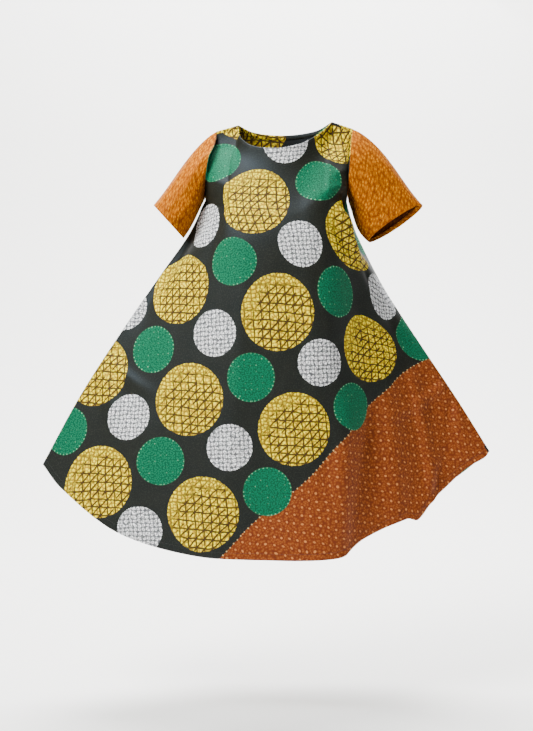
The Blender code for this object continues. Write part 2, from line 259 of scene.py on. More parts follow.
# The cloth, and how far its face lies off the form, in the middle and at its seams.
CLOTH = 0.0008
FACE_LIFT = 0.0011
SEAM_LIFT = 0.0001
SEAM_REACH = 0.014
SLEEVE_SEAM_REACH = 0.07
# Creases die away over this distance from a seam, or share of a sleeve's length.
CREASE_REACH = 0.020
SLEEVE_CREASE_REACH = 0.12
# Turned edges.
FOLD_RADIUS = 0.0009
HEM_ALLOWANCE = 0.018
NECK_ALLOWANCE = 0.010
CUFF_ALLOWANCE = 0.009
ARMHOLE_ALLOWANCE = 0.006
# A panel's side edges: how far they turn in, how far that spreads them, and how much cloth
# the turn takes, in columns.
SEAM_ROLL = 0.0012
SEAM_ROLL_SPREAD = 0.00002
SEAM_ROLL_CUT = 0.3
# How far a sleeve's edge lies outside the armhole seam where the seam looks sideways.
SEAM_RIDGE = 0.0006
# Stitches: how far they stand off the cloth, and where a cuff's row lies on the sleeve.
STITCH_PITCH = 0.0032
STITCH_LENGTH = 0.0024
THREAD_WIDTH = 0.0007
STITCH_LIFT = 0.0003
CUFF_STITCH_SHARE = 0.90


def smooth_step(value):
    """From 0 at 0 to 1 at 1, level at both."""
    value = np.clip(value, 0.0, 1.0)
    return value * value * (3.0 - 2.0 * value)


def smooth_through(stations, values, places):
    """Read a smooth curve through values at rising stations, for many places at once."""
    stations, values = np.asarray(stations, float), np.asarray(values, float)
    places = np.atleast_1d(np.asarray(places, float))
    last = len(stations) - 1
    span = np.clip(np.searchsorted(stations, places, side="right") - 1, 0, last - 1)
    index = np.arange(last + 1)
    before, after = np.maximum(index - 1, 0), np.minimum(index + 1, last)
    wide = (stations[after] - stations[before]).reshape((-1,) + (1,) * (values.ndim - 1))
    slopes = (values[after] - values[before]) / wide
    step = stations[span + 1] - stations[span]
    t = (places - stations[span]) / step
    if values.ndim > 1:
        step, t = step[:, None], t[:, None]
    return (values[span] * (1 + 2 * t) * (1 - t) ** 2 + slopes[span] * step * t * (1 - t) ** 2
            + values[span + 1] * t * t * (3 - 2 * t) + slopes[span + 1] * step * t * t * (t - 1))


def curve_at(points, shares):
    """Points of a smooth curve through a few points, at shares of its length."""
    points = np.array([np.asarray(point, float) for point in points])
    lengths = np.linalg.norm(np.diff(points, axis=0), axis=1)
    stations = np.concatenate([[0.0], np.cumsum(lengths)])
    return smooth_through(stations, points, np.asarray(shares) * stations[-1])


def unit(vectors):
    """The same ways, each one long."""
    return vectors / np.maximum(np.linalg.norm(vectors, axis=-1, keepdims=True), 1e-12)


def top_edge(name, across):
    """Shoulder seam, neckline, shoulder seam."""
    neck = curve_at(NECKLINE[name],
                    np.clip((across - STRAP_SHARE) / (1 - 2 * STRAP_SHARE), 0, 1))
    left = np.clip(across / STRAP_SHARE, 0, 1)[:, None]
    right = np.clip((1 - across) / STRAP_SHARE, 0, 1)[:, None]
    left_strap = SHOULDER_LEFT + (NECK_LEFT - SHOULDER_LEFT) * left
    right_strap = SHOULDER_RIGHT + (NECK_RIGHT - SHOULDER_RIGHT) * right
    strap = (across < STRAP_SHARE)[:, None]
    far = (across > 1 - STRAP_SHARE)[:, None]
    return np.where(strap, left_strap, np.where(far, right_strap, neck))


def side_edge(name, side, down):
    """Armhole, then side seam."""
    armhole = curve_at(ARMHOLE[name, side], np.clip(down / ARMHOLE_SHARE, 0, 1))
    seam = curve_at(SIDE_SEAM[side], np.clip((down - ARMHOLE_SHARE) / (1 - ARMHOLE_SHARE), 0, 1))
    return np.where((down < ARMHOLE_SHARE)[:, None], armhole, seam)


def panel_form(name, across, down):
    """The panel's plain form, rows by columns, without its fine creases."""
    outward = -1.0 if name == "front" else 1.0
    top, hem = top_edge(name, across), curve_at(HEM[name], across)
    left, right = side_edge(name, "left", down), side_edge(name, "right", down)
    a, d = across[None, :, None], down[:, None, None]
    upper = SHOULDER_LEFT * (1 - a) + SHOULDER_RIGHT * a
    lower = CORNER_LEFT * (1 - a) + CORNER_RIGHT * a
    form = (top[None] * (1 - d) + hem[None] * d + left[:, None] * (1 - a) + right[:, None] * a
            - upper * (1 - d) - lower * d)
    table = np.array([section[1:] for section in SECTIONS[name]])
    downs = [section.down for section in SECTIONS[name]]
    depth, crest, fall_left, fall_right = smooth_through(downs, table, down).T[:, :, None]
    is_left = across[None] < crest
    turn = np.where(is_left, (crest - across[None]) / crest, (across[None] - crest) / (1 - crest))
    fall = np.where(is_left, fall_left, fall_right)
    side = np.where(is_left, left[:, 1:2], right[:, 1:2])
    full = np.maximum(1 - np.abs(turn) ** SECTION_POWER, 0.0) ** fall
    blend = smooth_step(down / NECK_REACH)[:, None]
    form[..., 1] = top[None, :, 1] + (side + (depth - side) * full - top[None, :, 1]) * blend
    form[:, 0, 1], form[:, -1, 1] = left[:, 1], right[:, 1]
    wide = np.linalg.norm(right - left, axis=1)[:, None]
    lift = np.zeros(form.shape[:2])
    for fold in FOLDS[name]:
        along = ((down - fold.down_0) / (fold.down_1 - fold.down_0))[:, None]
        line = fold.across_0 + (fold.across_1 - fold.across_0) * np.clip(along, 0, 1)
        offset = (across[None] - line) * wide / fold.width
        ends = smooth_step(along / FOLD_FADE)
        if fold.down_1 < 1.0:
            ends = ends * smooth_step((1.0 - along) / FOLD_FADE)
        lift += fold.height * ends * np.exp(-offset * offset)
    edge = smooth_step(across / SEAM_QUIET) * smooth_step((1 - across) / SEAM_QUIET)
    form[..., 1] += outward * (lift * edge[None] + SEAM_GAP / 2)
    return form


def facing(points, flip, closed=False):
    """Unit normals of a grid of points, rows by columns."""
    down_way = np.gradient(points, axis=0)
    if closed:
        across_way = np.roll(points, -1, axis=1) - np.roll(points, 1, axis=1)
    else:
        across_way = np.gradient(points, axis=1)
    normals = unit(np.cross(down_way, across_way))
    return -normals if flip else normals


def from_line(line, form):
    """How far along a line, as a share of it, and how far aside of it a panel's points lie."""
    x, z = form[..., 0] - line.x_0, form[..., 2] - line.z_0
    run = np.array([line.x_1 - line.x_0, line.z_1 - line.z_0])
    length = np.hypot(*run)
    run /= length
    return (x * run[0] + z * run[1]) / length, z * run[0] - x * run[1]


def crease_lift(name, form):
    """Height of the fine creases over a panel."""
    lift = np.zeros(form.shape[:2])
    for crease in CREASES[name]:
        along, aside = from_line(crease, form)
        aside = aside - crease.bow * 4 * along * (1 - along)
        width = crease.width * (CREASE_START_WIDTH + CREASE_WIDENING * np.clip(along, 0, 1))
        ends = smooth_step((along + CREASE_OVERRUN) / crease.fade_0)
        ends = ends * smooth_step((1 + CREASE_OVERRUN - along) / crease.fade_1)
        lift += crease.height * ends * np.exp(-(aside / width) ** 2)
    return lift


def tuck_away(name, form, cut):
    """Skip the cloth that lies hidden in each tuck, and sink the tuck's line."""
    sink = np.zeros(form.shape[:2])
    for tuck in TUCKS[name]:
        along, aside = from_line(tuck, form)
        aside = aside + TUCK_BOW * 4 * along * (1 - along)
        ends = smooth_step(along / tuck.fade_0) * smooth_step((1 - along) / tuck.fade_1)
        beyond = smooth_step(aside / TUCK_WIDTH)
        cut[..., 0] += tuck.hidden * ends * beyond
        sink -= TUCK_SINK * ends * np.exp(-(aside / TUCK_SINK_WIDTH - 1) ** 2)
        sink += TUCK_RIDGE * ends * np.exp(-(aside / TUCK_RIDGE_WIDTH + 1) ** 2)
    return sink


def roll_edge(points, normals, cut, reach, at_end):
    """Turn a grid's first or last row over a rounded fold and up the inside by reach."""
    if not at_end:
        points, normals, cut = points[::-1], normals[::-1], cut[::-1]
    edge, edge_facing = points[-1], normals[-1]
    outward = unit(points[-1] - points[-2])
    outward = unit(outward - edge_facing * np.sum(outward * edge_facing, axis=-1, keepdims=True))
    spacing = np.linalg.norm(points[-1] - points[-2], axis=-1).mean()
    cut_step = cut[-1] - cut[-2]
    rows, facings, cuts = [], [], []
    for angle in (40.0, 90.0, 140.0):
        out = math.sin(math.radians(angle))
        under = 1 - math.cos(math.radians(angle))
        rows.append(edge + FOLD_RADIUS * (out * outward - under * edge_facing))
        facings.append(unit(outward * out + edge_facing * (1 - under)))
        cuts.append(cut[-1] + cut_step * FOLD_RADIUS * math.radians(angle) / spacing)
    steps = max(int(round(reach / spacing)), 1)
    for step in range(0, steps + 1):
        rows.append(points[-1 - step] - normals[-1 - step] * 2 * FOLD_RADIUS)
        facings.append(-normals[-1 - step])
        cuts.append(cut[-1] + cut_step * (math.pi * FOLD_RADIUS / spacing + step))
    points = np.concatenate([points, np.array(rows)])
    normals = np.concatenate([normals, np.array(facings)])
    cut = np.concatenate([cut, np.array(cuts)])
    if not at_end:
        points, normals, cut = points[::-1], normals[::-1], cut[::-1]
    return points, normals, cut


def seam_roll(points, normals, cut):
    """Round a panel's two side edges into its seams."""
    rolled, rolled_cut = {}, {}
    for end, inner in ((0, 1), (-1, -2)):
        spread = unit(points[:, end] - points[:, inner]) * SEAM_ROLL_SPREAD
        rolled[end] = (points[:, end] - normals[:, end] * SEAM_ROLL + spread)[:, None]
        beyond = (cut[:, end] - cut[:, inner]) * SEAM_ROLL_CUT
        rolled_cut[end] = (cut[:, end] + beyond)[:, None]
    points = np.concatenate([rolled[0], points, rolled[-1]], axis=1)
    cut = np.concatenate([rolled_cut[0], cut, rolled_cut[-1]], axis=1)
    return points, cut


def grid_faces(rows, columns, closed, flip):
    """Corner numbers of a grid's four-sided faces."""
    spans = columns if closed else columns - 1
    row, column = np.meshgrid(np.arange(rows - 1), np.arange(spans), indexing="ij")
    following = (column + 1) % columns
    faces = np.stack([row * columns + column, (row + 1) * columns + column,
                      (row + 1) * columns + following, row * columns + following], axis=-1)
    faces = faces.reshape(-1, 4)
    return faces[:, ::-1] if flip else faces


def grid_mesh(name, points, cut, closed, flip):
    """A mesh on a grid of points, with its flat cut as a UV map called cut."""
    rows, columns = points.shape[:2]
    faces = grid_faces(rows, columns, closed, flip)
    mesh = bpy.data.meshes.new(name)
    mesh.from_pydata(points.reshape(-1, 3).tolist(), [], faces.tolist())
    cut_columns = cut.shape[1]
    cut_faces = grid_faces(rows, cut_columns, False, flip)
    layer = mesh.uv_layers.new(name="cut")
    corners = cut.reshape(-1, 2)[cut_faces.reshape(-1)]
    layer.data.foreach_set("uv", corners.astype(np.float32).ravel())
    mesh.shade_smooth()
    return mesh


def new_piece(name, mesh):
    """An object for a mesh, in the scene."""
    piece = bpy.data.objects.new(name, mesh)
    bpy.context.scene.collection.objects.link(piece)
    return piece


def apply_modifiers(piece):
    """Turn a piece's modifiers into plain mesh."""
    shown = piece.evaluated_get(bpy.context.evaluated_depsgraph_get())
    mesh = bpy.data.meshes.new_from_object(shown)
    piece.modifiers.clear()
    piece.data = mesh
    return piece


# ================================================================ flat cut of a panel
CUT_ROWS = 49
CUT_COLUMNS = 41


def flat_cut(name, across, down):
    """The panel laid flat, in metres: x across and y up, level with the worn panel's middle."""
    coarse_across = np.linspace(0, 1, CUT_COLUMNS)
    coarse_down = np.linspace(0, 1, CUT_ROWS)
    form = panel_form(name, coarse_across, coarse_down)
    faces = grid_faces(CUT_ROWS, CUT_COLUMNS, False, name == "back")
    mesh = bpy.data.meshes.new("flat cut")
    mesh.from_pydata(form.reshape(-1, 3).tolist(), [], faces.tolist())
    mesh.uv_layers.new(name="cut")
    piece = new_piece("flat cut", mesh)
    bpy.context.view_layer.objects.active = piece
    bpy.ops.object.mode_set(mode="EDIT")
    bpy.ops.mesh.select_all(action="SELECT")
    bpy.ops.uv.unwrap(method="MINIMUM_STRETCH", iterations=60)
    bpy.ops.object.mode_set(mode="OBJECT")
    loops = len(mesh.loops)
    uv, corner = np.empty(loops * 2, np.float32), np.empty(loops, np.int32)
    mesh.uv_layers["cut"].data.foreach_get("uv", uv)
    mesh.loops.foreach_get("vertex_index", corner)
    flat = np.empty((CUT_ROWS * CUT_COLUMNS, 2))
    flat[corner] = uv.reshape(-1, 2)
    bpy.data.objects.remove(piece)
    bpy.data.meshes.remove(mesh)
    flat = flat.reshape(CUT_ROWS, CUT_COLUMNS, 2)
    return level_cut(flat, form, across, down, coarse_across, coarse_down)


def grid_area(points):
    """Area of a grid of points, flat or in space."""
    first = points[1:, 1:] - points[:-1, :-1]
    second = points[1:, :-1] - points[:-1, 1:]
    if points.shape[-1] == 2:
        return 0.5 * np.abs(first[..., 0] * second[..., 1] - first[..., 1] * second[..., 0]).sum()
    return 0.5 * np.linalg.norm(np.cross(first, second), axis=-1).sum()


def level_cut(flat, form, across, down, coarse_across, coarse_down):
    """Scale the flat cut to metres, turn it upright over the form and read it finely."""
    flat = flat * math.sqrt(grid_area(form) / grid_area(flat))
    seen = form[..., [0, 2]]
    middle_flat, middle_seen = flat.mean(axis=(0, 1)), seen.mean(axis=(0, 1))
    spread = (flat - middle_flat).reshape(-1, 2).T @ (seen - middle_seen).reshape(-1, 2)
    left_way, _, right_way = np.linalg.svd(spread)
    flat = (flat - middle_flat) @ (left_way @ right_way) + middle_seen
    by_row = smooth_through(coarse_down, flat.reshape(CUT_ROWS, -1), down)
    by_row = by_row.reshape(len(down), CUT_COLUMNS, 2).transpose(1, 0, 2).reshape(CUT_COLUMNS, -1)
    fine = smooth_through(coarse_across, by_row, across)
    return fine.reshape(len(across), len(down), 2).transpose(1, 0, 2)


# ================================================================ node wiring
class Wiring:
    """Adds nodes to a tree; values may be numbers, vectors or sockets."""

    def __init__(self, tree):
        self.tree = tree

    def put(self, socket, value):
        if isinstance(value, bpy.types.NodeSocket):
            self.tree.links.new(value, socket)
        elif value is not None:
            socket.default_value = value

    def node(self, kind, **settings):
        made = self.tree.nodes.new(kind)
        for key, value in settings.items():
            setattr(made, key, value)
        return made

    def math(self, operation, *values, clamp=False):
        made = self.node("ShaderNodeMath", operation=operation, use_clamp=clamp)
        for socket, value in zip(made.inputs, values):
            self.put(socket, value)
        return made.outputs[0]

    def vector(self, operation, *values):
        made = self.node("ShaderNodeVectorMath", operation=operation)
        for socket, value in zip(made.inputs, values):
            self.put(socket, value)
        return made

    def product(self, first, second):
        return self.math("MULTIPLY", first, second)

    def larger(self, first, second):
        return self.math("MAXIMUM", first, second)

    def off_whole(self, value):
        """How far a value lies from the nearest whole number."""
        return self.math("SUBTRACT", value, self.math("ROUND", value))

    def on_grid(self, vector, grid):
        """Where a place lies on a grid, in the grid's own steps."""
        return self.dot(vector, grid[0]), self.dot(vector, grid[1])

    def from_crossing(self, across, down, squash=1.0):
        """How far a place lies from the nearest crossing of a grid, in its steps."""
        return self.length(self.join(self.off_whole(across),
                                     self.product(self.off_whole(down), squash)))

    def add(self, first, second):
        return self.vector("ADD", first, second).outputs["Vector"]

    def less(self, first, second):
        return self.vector("SUBTRACT", first, second).outputs["Vector"]

    def times(self, vector, factor):
        made = self.node("ShaderNodeVectorMath", operation="SCALE")
        self.put(made.inputs[0], vector)
        self.put(made.inputs["Scale"], factor)
        return made.outputs["Vector"]

    def dot(self, first, second):
        return self.vector("DOT_PRODUCT", first, second).outputs["Value"]

    def length(self, vector):
        return self.vector("LENGTH", vector).outputs["Value"]

    def split(self, vector):
        made = self.node("ShaderNodeSeparateXYZ")
        self.put(made.inputs[0], vector)
        return made.outputs[0], made.outputs[1]

    def join(self, x, y, z=0.0):
        made = self.node("ShaderNodeCombineXYZ")
        for socket, value in zip(made.inputs, (x, y, z)):
            self.put(socket, value)
        return made.outputs[0]

    def ease(self, value, low, high):
        """From 0 at low to 1 at high, smoothly; low may be above high."""
        made = self.node("ShaderNodeMapRange", interpolation_type="SMOOTHSTEP")
        self.put(made.inputs["Value"], value)
        rising = high >= low
        self.put(made.inputs["From Min"], low if rising else high)
        self.put(made.inputs["From Max"], high if rising else low)
        self.put(made.inputs["To Min"], 0.0 if rising else 1.0)
        self.put(made.inputs["To Max"], 1.0 if rising else 0.0)
        return made.outputs["Result"]

    def mix(self, factor, first, second):
        made = self.node("ShaderNodeMix", data_type="RGBA")
        self.put(made.inputs[0], factor)
        self.put(made.inputs[6], first)
        self.put(made.inputs[7], second)
        return made.outputs[2]

    def noise(self, vector, scale, detail=2.0, roughness=0.5):
        made = self.node("ShaderNodeTexNoise")
        self.put(made.inputs["Vector"], vector)
        made.inputs["Scale"].default_value = scale
        made.inputs["Detail"].default_value = detail
        made.inputs["Roughness"].default_value = roughness
        return made.outputs["Fac"]

    def warped(self, vector, place, scale, amount):
        """A vector moved about by the noise at a place."""
        made = self.node("ShaderNodeTexNoise")
        self.put(made.inputs["Vector"], place)
        made.inputs["Scale"].default_value = scale
        made.inputs["Detail"].default_value = 1.0
        off = self.less(made.outputs["Color"], (0.5, 0.5, 0.5))
        return self.add(vector, self.times(off, amount))

    def cells(self, vector, scale, randomness=1.0, feature="F1"):
        made = self.node("ShaderNodeTexVoronoi", feature=feature)
        made.voronoi_dimensions = "2D"
        self.put(made.inputs["Vector"], vector)
        made.inputs["Scale"].default_value = scale
        made.inputs["Randomness"].default_value = randomness
        return made.outputs["Distance"]


def new_group(name, inputs, outputs):
    """A shader node group with its wiring, the sockets it is given and those it puts out."""
    tree = bpy.data.node_groups.new(name, "ShaderNodeTree")
    for label, kind, value in inputs:
        socket = tree.interface.new_socket(label, in_out="INPUT", socket_type=kind)
        if value is not None:
            socket.default_value = value
    for label, kind in outputs:
        tree.interface.new_socket(label, in_out="OUTPUT", socket_type=kind)
    wire = Wiring(tree)
    return tree, wire, wire.node("NodeGroupInput").outputs, wire.node("NodeGroupOutput").inputs


# ================================================================ the print
# The disc repeat: two steps between like discs, and where the three kinds sit in it.
STEP_RIGHT = (0.2600, -0.0711, 0.0)
STEP_DOWN = (0.0407, -0.2708, 0.0)
Disc = namedtuple("Disc", "name x y radius")
GOLD_DISC = Disc("gold", -0.0689, -0.1948, 0.0870)
WHITE_DISC = Disc("white", 0.0353, -0.3086, 0.0556)
GREEN_DISC = Disc("green", -0.1334, -0.3430, 0.0578)

# Grids of marks, in marks a metre, across and down; each leans a little.
GOLD_GRID = ((50.0, 3.8, 0.0), (3.8, 50.0, 0.0))
WHITE_GRID = ((97.0, 4.0, 0.0), (-4.0, 97.0, 0.0))
GREEN_GRID = ((71.0, 4.0, 0.0), (-4.0, 71.0, 0.0))
CORNER_GRID = ((53.0, 5.0, 0.0), (7.0, 49.0, 0.0))
SLEEVE_GRID = ((94.0, -8.0, 0.0), (10.0, 124.0, 0.0))
# The gold's pebbles: how many a metre, how uneven they are, and how far the painted highlight
# on each is set towards its upper left, as if lit from there. They gather away from
# PEBBLE_FREE, a place near a disc's middle.
PEBBLES = 112.0
PEBBLE_UNEVENNESS = 0.85
PEBBLE_HIGHLIGHT_OFFSET = (0.0011, -0.0011, 0.0)
PEBBLE_FREE = (0.016, -0.020, 0.0)

# The back is cut from another part of the repeat.
BACK_SHIFT = (0.022, -0.212, 0.0)

# Where the printed repeat runs unevenly: about a place, how far off it is.
Drift = namedtuple("Drift", "x y reach off_x off_y")
DRIFTS = [
    Drift(-0.500, -0.850, 0.140, -0.016, -0.002),
    Drift(-0.610, -0.930, 0.090, -0.016, -0.020),
    Drift(-0.250, -1.110, 0.080, 0.000, -0.020),
    Drift(-0.240, -0.600, 0.200, 0.006, 0.000),
    Drift(0.110, -0.270, 0.110, -0.014, 0.006),
    Drift(-0.040, -0.350, 0.140, 0.004, 0.010),
    Drift(0.310, -0.430, 0.085, 0.010, -0.044),
    Drift(0.420, -0.560, 0.080, 0.014, -0.034),
    Drift(0.270, -0.560, 0.080, 0.010, -0.006),
    Drift(-0.010, -0.050, 0.060, 0.014, -0.008),
    Drift(-0.069, -0.195, 0.085, -0.020, 0.000),
    Drift(0.130, -0.045, 0.050, 0.000, -0.024),
    Drift(0.190, -0.260, 0.060, 0.000, -0.022),
    Drift(0.340, -0.230, 0.070, -0.032, -0.004),
    Drift(0.305, -0.315, 0.048, 0.000, -0.026),
    Drift(-0.180, -0.070, 0.070, 0.012, -0.014),
    Drift(-0.220, -0.260, 0.050, -0.010, -0.004),
]


def tint(red, green, blue):
    """An opaque colour."""
    return (red, green, blue, 1.0)


DARK = tint(0.012, 0.011, 0.006)
DARK_DEEP = tint(0.006, 0.006, 0.003)
DARK_SPECK = tint(0.030, 0.034, 0.026)
GOLD = tint(0.800, 0.560, 0.001)
# Gold of the painted highlight on the pebbles.
GOLD_PAINTED_HIGHLIGHT = tint(1.000, 0.850, 0.004)
GOLD_DEEP = tint(0.360, 0.220, 0.001)
GOLD_LINE = tint(0.045, 0.024, 0.001)
WHITE = tint(0.960, 0.970, 0.980)
WHITE_GAP = tint(0.026, 0.028, 0.031)
GREEN = tint(0.001, 0.082, 0.034)
GREEN_LIGHT = tint(0.003, 0.210, 0.092)
GREEN_DEEP = tint(0.000, 0.034, 0.013)
BEAD = tint(0.160, 0.460, 0.220)
CREAM = tint(0.600, 0.420, 0.170)
RUST = tint(0.275, 0.058, 0.001)
RUST_DEEP = tint(0.100, 0.017, 0.001)
PEACH = tint(0.560, 0.190, 0.042)
SLEEVE_ORANGE = tint(0.270, 0.064, 0.001)
SLEEVE_LIGHT = tint(0.320, 0.090, 0.001)
SLEEVE_DEEP = tint(0.105, 0.017, 0.001)
SLEEVE_SPOT = tint(0.660, 0.265, 0.002)

# How much of each colour the wrong side of the two cloths keeps; the rest is painted shade,
# for the dim inside of the dress and the dark inside of the sleeves.
PRINT_WRONG_SIDE_SHADE = (0.50, 0.48, 0.46)
SLEEVE_WRONG_SIDE_SHADE = (0.16, 0.12, 0.12)


def drifted(wire, cut):
    """The cut with the unevenness of the printed repeat taken out."""
    moved = cut
    for drift in DRIFTS:
        away = wire.length(wire.less(cut, (drift.x, drift.y, 0.0)))
        share = wire.math("DIVIDE", away, drift.reach)
        near = wire.math("EXPONENT", wire.product(wire.product(share, share), -1.0))
        moved = wire.less(moved, wire.times((drift.off_x, drift.off_y, 0.0), near))
    return moved


def disc_place(wire, cut, disc):
    """Where a point lies within its disc of one kind, and the disc's own number."""
    (ax, ay, _), (bx, by, _) = STEP_RIGHT, STEP_DOWN
    area = ax * by - ay * bx
    away = wire.less(cut, (disc.x, disc.y, 0.0))
    right = wire.dot(away, (by / area, -bx / area, 0.0))
    down = wire.dot(away, (-ay / area, ax / area, 0.0))
    right_near, down_near = wire.math("ROUND", right), wire.math("ROUND", down)
    right_off = wire.math("SUBTRACT", right, right_near)
    down_off = wire.math("SUBTRACT", down, down_near)
    inside = wire.add(wire.times(STEP_RIGHT, right_off), wire.times(STEP_DOWN, down_off))
    number = wire.math("ADD", wire.product(right_near, 7.3), wire.product(down_near, 3.1))
    return inside, number


def own_place(wire, inside, number):
    """A place of its own in the noise for each disc, so that no two discs are the same."""
    return wire.add(inside, wire.join(number, number))


def line_mask(wire, value, half_width, soft):
    """1 on the whole numbers of value, within half_width."""
    off = wire.math("ABSOLUTE", wire.off_whole(value))
    return wire.ease(off, half_width + soft, half_width - soft)


def rim_beads(wire, inside, radius, count, size):
    """Small beads round a disc's rim."""
    x, y = wire.split(inside)
    turn = wire.product(wire.math("ARCTAN2", y, x), count / (2 * math.pi))
    off = wire.off_whole(turn)
    along = wire.product(off, 2 * math.pi * radius / count)
    out = wire.math("SUBTRACT", wire.length(inside), radius)
    return wire.ease(wire.length(wire.join(along, out)), size, size * 0.6)


def gold_colour(wire, inside, number):
    """Gold with a dark hand-drawn grid, slanting strokes, pebbles towards the rim and painted
    highlights.
    """
    point = wire.warped(inside, own_place(wire, inside, number), 34.0, 0.0075)
    gx, gy = wire.on_grid(point, GOLD_GRID)
    sway = wire.noise(wire.add(point, wire.join(number, 0.3)), 34.0, 1.0)
    upright = wire.product(line_mask(wire, gx, 0.090, 0.036), wire.ease(sway, 0.10, 0.40))
    level = wire.product(line_mask(wire, gy, 0.094, 0.036), wire.ease(sway, 0.95, 0.65))
    slant = line_mask(wire, wire.math("SUBTRACT", gx, gy), 0.130, 0.050)
    broken = wire.ease(wire.noise(wire.add(point, wire.join(0.7, number)), 26.0, 1.0), 0.36, 0.46)
    slant = wire.product(slant, broken)
    pooled = wire.ease(wire.from_crossing(gx, gy), 0.22, 0.10)
    line = wire.larger(wire.larger(upright, level), slant)
    line = wire.larger(line, wire.product(pooled, 0.8))
    out = wire.math("DIVIDE", wire.length(wire.less(inside, PEBBLE_FREE)), GOLD_DISC.radius)
    rim = wire.ease(wire.math("ADD", out, wire.product(sway, 0.70)), 1.20, 1.55)
    edge = wire.cells(point, PEBBLES, PEBBLE_UNEVENNESS, "DISTANCE_TO_EDGE")
    cracks = wire.ease(edge, 0.17, 0.05)
    # Painted highlight: a paler spot on each pebble, set to its upper left as if lit from there.
    painted_highlight = wire.cells(wire.add(point, PEBBLE_HIGHLIGHT_OFFSET), PEBBLES, PEBBLE_UNEVENNESS)
    line = wire.product(line, wire.math("SUBTRACT", 1.0, wire.product(rim, 0.45)))
    crack_share = wire.math("MULTIPLY_ADD", rim, 0.50, 0.10)
    line = wire.larger(line, wire.product(cracks, crack_share))
    base = wire.mix(wire.ease(edge, 0.05, 0.32), GOLD_DEEP, GOLD)
    base = wire.mix(wire.ease(painted_highlight, 0.40, 0.12), base, GOLD_PAINTED_HIGHLIGHT)
    return wire.mix(line, base, GOLD_LINE)


def white_colour(wire, inside, number):
    """Silver white with rows of small uneven rings."""
    point = wire.warped(inside, own_place(wire, inside, number), 80.0, 0.011)
    gx, gy = wire.on_grid(point, WHITE_GRID)
    away = wire.from_crossing(gx, gy)
    outline = wire.ease(away, 0.34, 0.48)
    eye = wire.ease(away, 0.20, 0.08)
    speck = wire.ease(wire.cells(point, 235.0), 0.36, 0.64)
    chips = wire.ease(wire.cells(point, 128.0, 1.0, "DISTANCE_TO_EDGE"), 0.16, 0.04)
    tone = wire.mix(wire.product(outline, 0.85), WHITE, WHITE_GAP)
    tone = wire.mix(wire.product(eye, 0.60), tone, WHITE_GAP)
    tone = wire.mix(wire.product(speck, 0.55), tone, WHITE_GAP)
    return wire.mix(wire.product(chips, 0.45), tone, WHITE_GAP)


def green_colour(wire, inside, number):
    """Emerald green with fine specks, a few pale dots and a faintly beaded rim."""
    point = own_place(wire, inside, number)
    fine = wire.cells(point, 250.0, 0.9)
    tone = wire.mix(wire.ease(fine, 0.12, 0.62), GREEN_LIGHT, GREEN_DEEP)
    tone = wire.mix(0.60, tone, GREEN)
    gx, gy = wire.on_grid(inside, GREEN_GRID)
    dot = wire.ease(wire.from_crossing(gx, gy), 0.16, 0.08)
    dot = wire.product(dot, wire.ease(wire.noise(point, 60.0, 1.0), 0.45, 0.95))
    tone = wire.mix(dot, tone, BEAD)
    beads = rim_beads(wire, inside, GREEN_DISC.radius - 0.0012, 36, 0.0021)
    uneven = wire.ease(wire.noise(point, 35.0, 1.0), 0.25, 0.75)
    return wire.mix(wire.product(beads, uneven), tone, BEAD)


def orange_colour(wire, cut):
    """Rust orange with rows of pale flat dots in dark rings, on a fine grain."""
    point = wire.warped(cut, cut, 14.0, 0.020)
    gx, gy = wire.on_grid(point, CORNER_GRID)
    away = wire.from_crossing(gx, gy, squash=1.15)
    strong = wire.math("ADD", 0.40, wire.product(wire.noise(cut, 40.0, 1.0), 0.9), clamp=True)
    dot = wire.product(wire.ease(away, 0.22, 0.09), strong)
    halo = wire.product(wire.ease(away, 0.40, 0.25), 0.60)
    grain = wire.cells(point, 165.0, 1.0)
    light_grain = wire.product(wire.ease(grain, 0.30, 0.10), 0.26)
    dark_grain = wire.product(wire.ease(grain, 0.42, 0.66), 0.70)
    tone = wire.mix(wire.noise(cut, 90.0, 4.0, 0.7), RUST_DEEP, RUST)
    tone = wire.mix(dark_grain, tone, RUST_DEEP)
    tone = wire.mix(light_grain, tone, PEACH)
    tone = wire.mix(halo, tone, RUST_DEEP)
    return wire.mix(dot, tone, PEACH)


# Edge of the orange corner on the front's flat cut: a point on it and the way it runs; it
# fills the side below and to the right. The edge sways in long waves, and past EDGE_BEND
# along it curves off.
ORANGE_POINT = (0.0, -0.893, 0.0)
ORANGE_RUN = (0.744, 0.668, 0.0)
EDGE_SHIFT = 0.003
EDGE_SWAY = 0.005
EDGE_WAVES = 20.9
EDGE_WAVE_START = 0.53
EDGE_BEND = 0.30
BEAD_PITCH = 0.0125
# A disc is printed only when its middle reaches no further than this into the orange.
DISC_INTO_ORANGE = {"gold": -0.040, "white": -0.030, "green": 0.030}


def beyond_edge(wire, place):
    """How far a place lies on the orange side of the edge, and how far along it."""
    from_edge = wire.less(place, ORANGE_POINT)
    along = wire.dot(from_edge, ORANGE_RUN)
    beyond = wire.dot(from_edge, (ORANGE_RUN[1], -ORANGE_RUN[0], 0.0))
    wave = wire.math("SINE", wire.math("MULTIPLY_ADD", along, EDGE_WAVES, EDGE_WAVE_START))
    beyond = wire.math("SUBTRACT", beyond, wire.product(wave, EDGE_SWAY))
    bend = wire.larger(wire.math("SUBTRACT", along, EDGE_BEND), 0.0)
    beyond = wire.math("SUBTRACT", beyond, wire.product(bend, bend))
    return wire.math("ADD", beyond, EDGE_SHIFT), along


def dark_ground(wire, cut):
    """Nearly black ground with a fine, paler crackle."""
    ground = wire.mix(wire.noise(cut, 26.0, 4.0), DARK_DEEP, DARK)
    crackle = wire.ease(wire.cells(cut, 330.0, 1.0), 0.35, 0.75)
    return wire.mix(wire.product(crackle, 0.30), ground, DARK_SPECK)


def edge_beads(wire, along, beyond):
    """A row of beads along the orange corner's edge."""
    off = wire.product(wire.off_whole(wire.math("DIVIDE", along, BEAD_PITCH)), BEAD_PITCH)
    return wire.ease(wire.length(wire.join(off, beyond)), 0.0022, 0.0010)


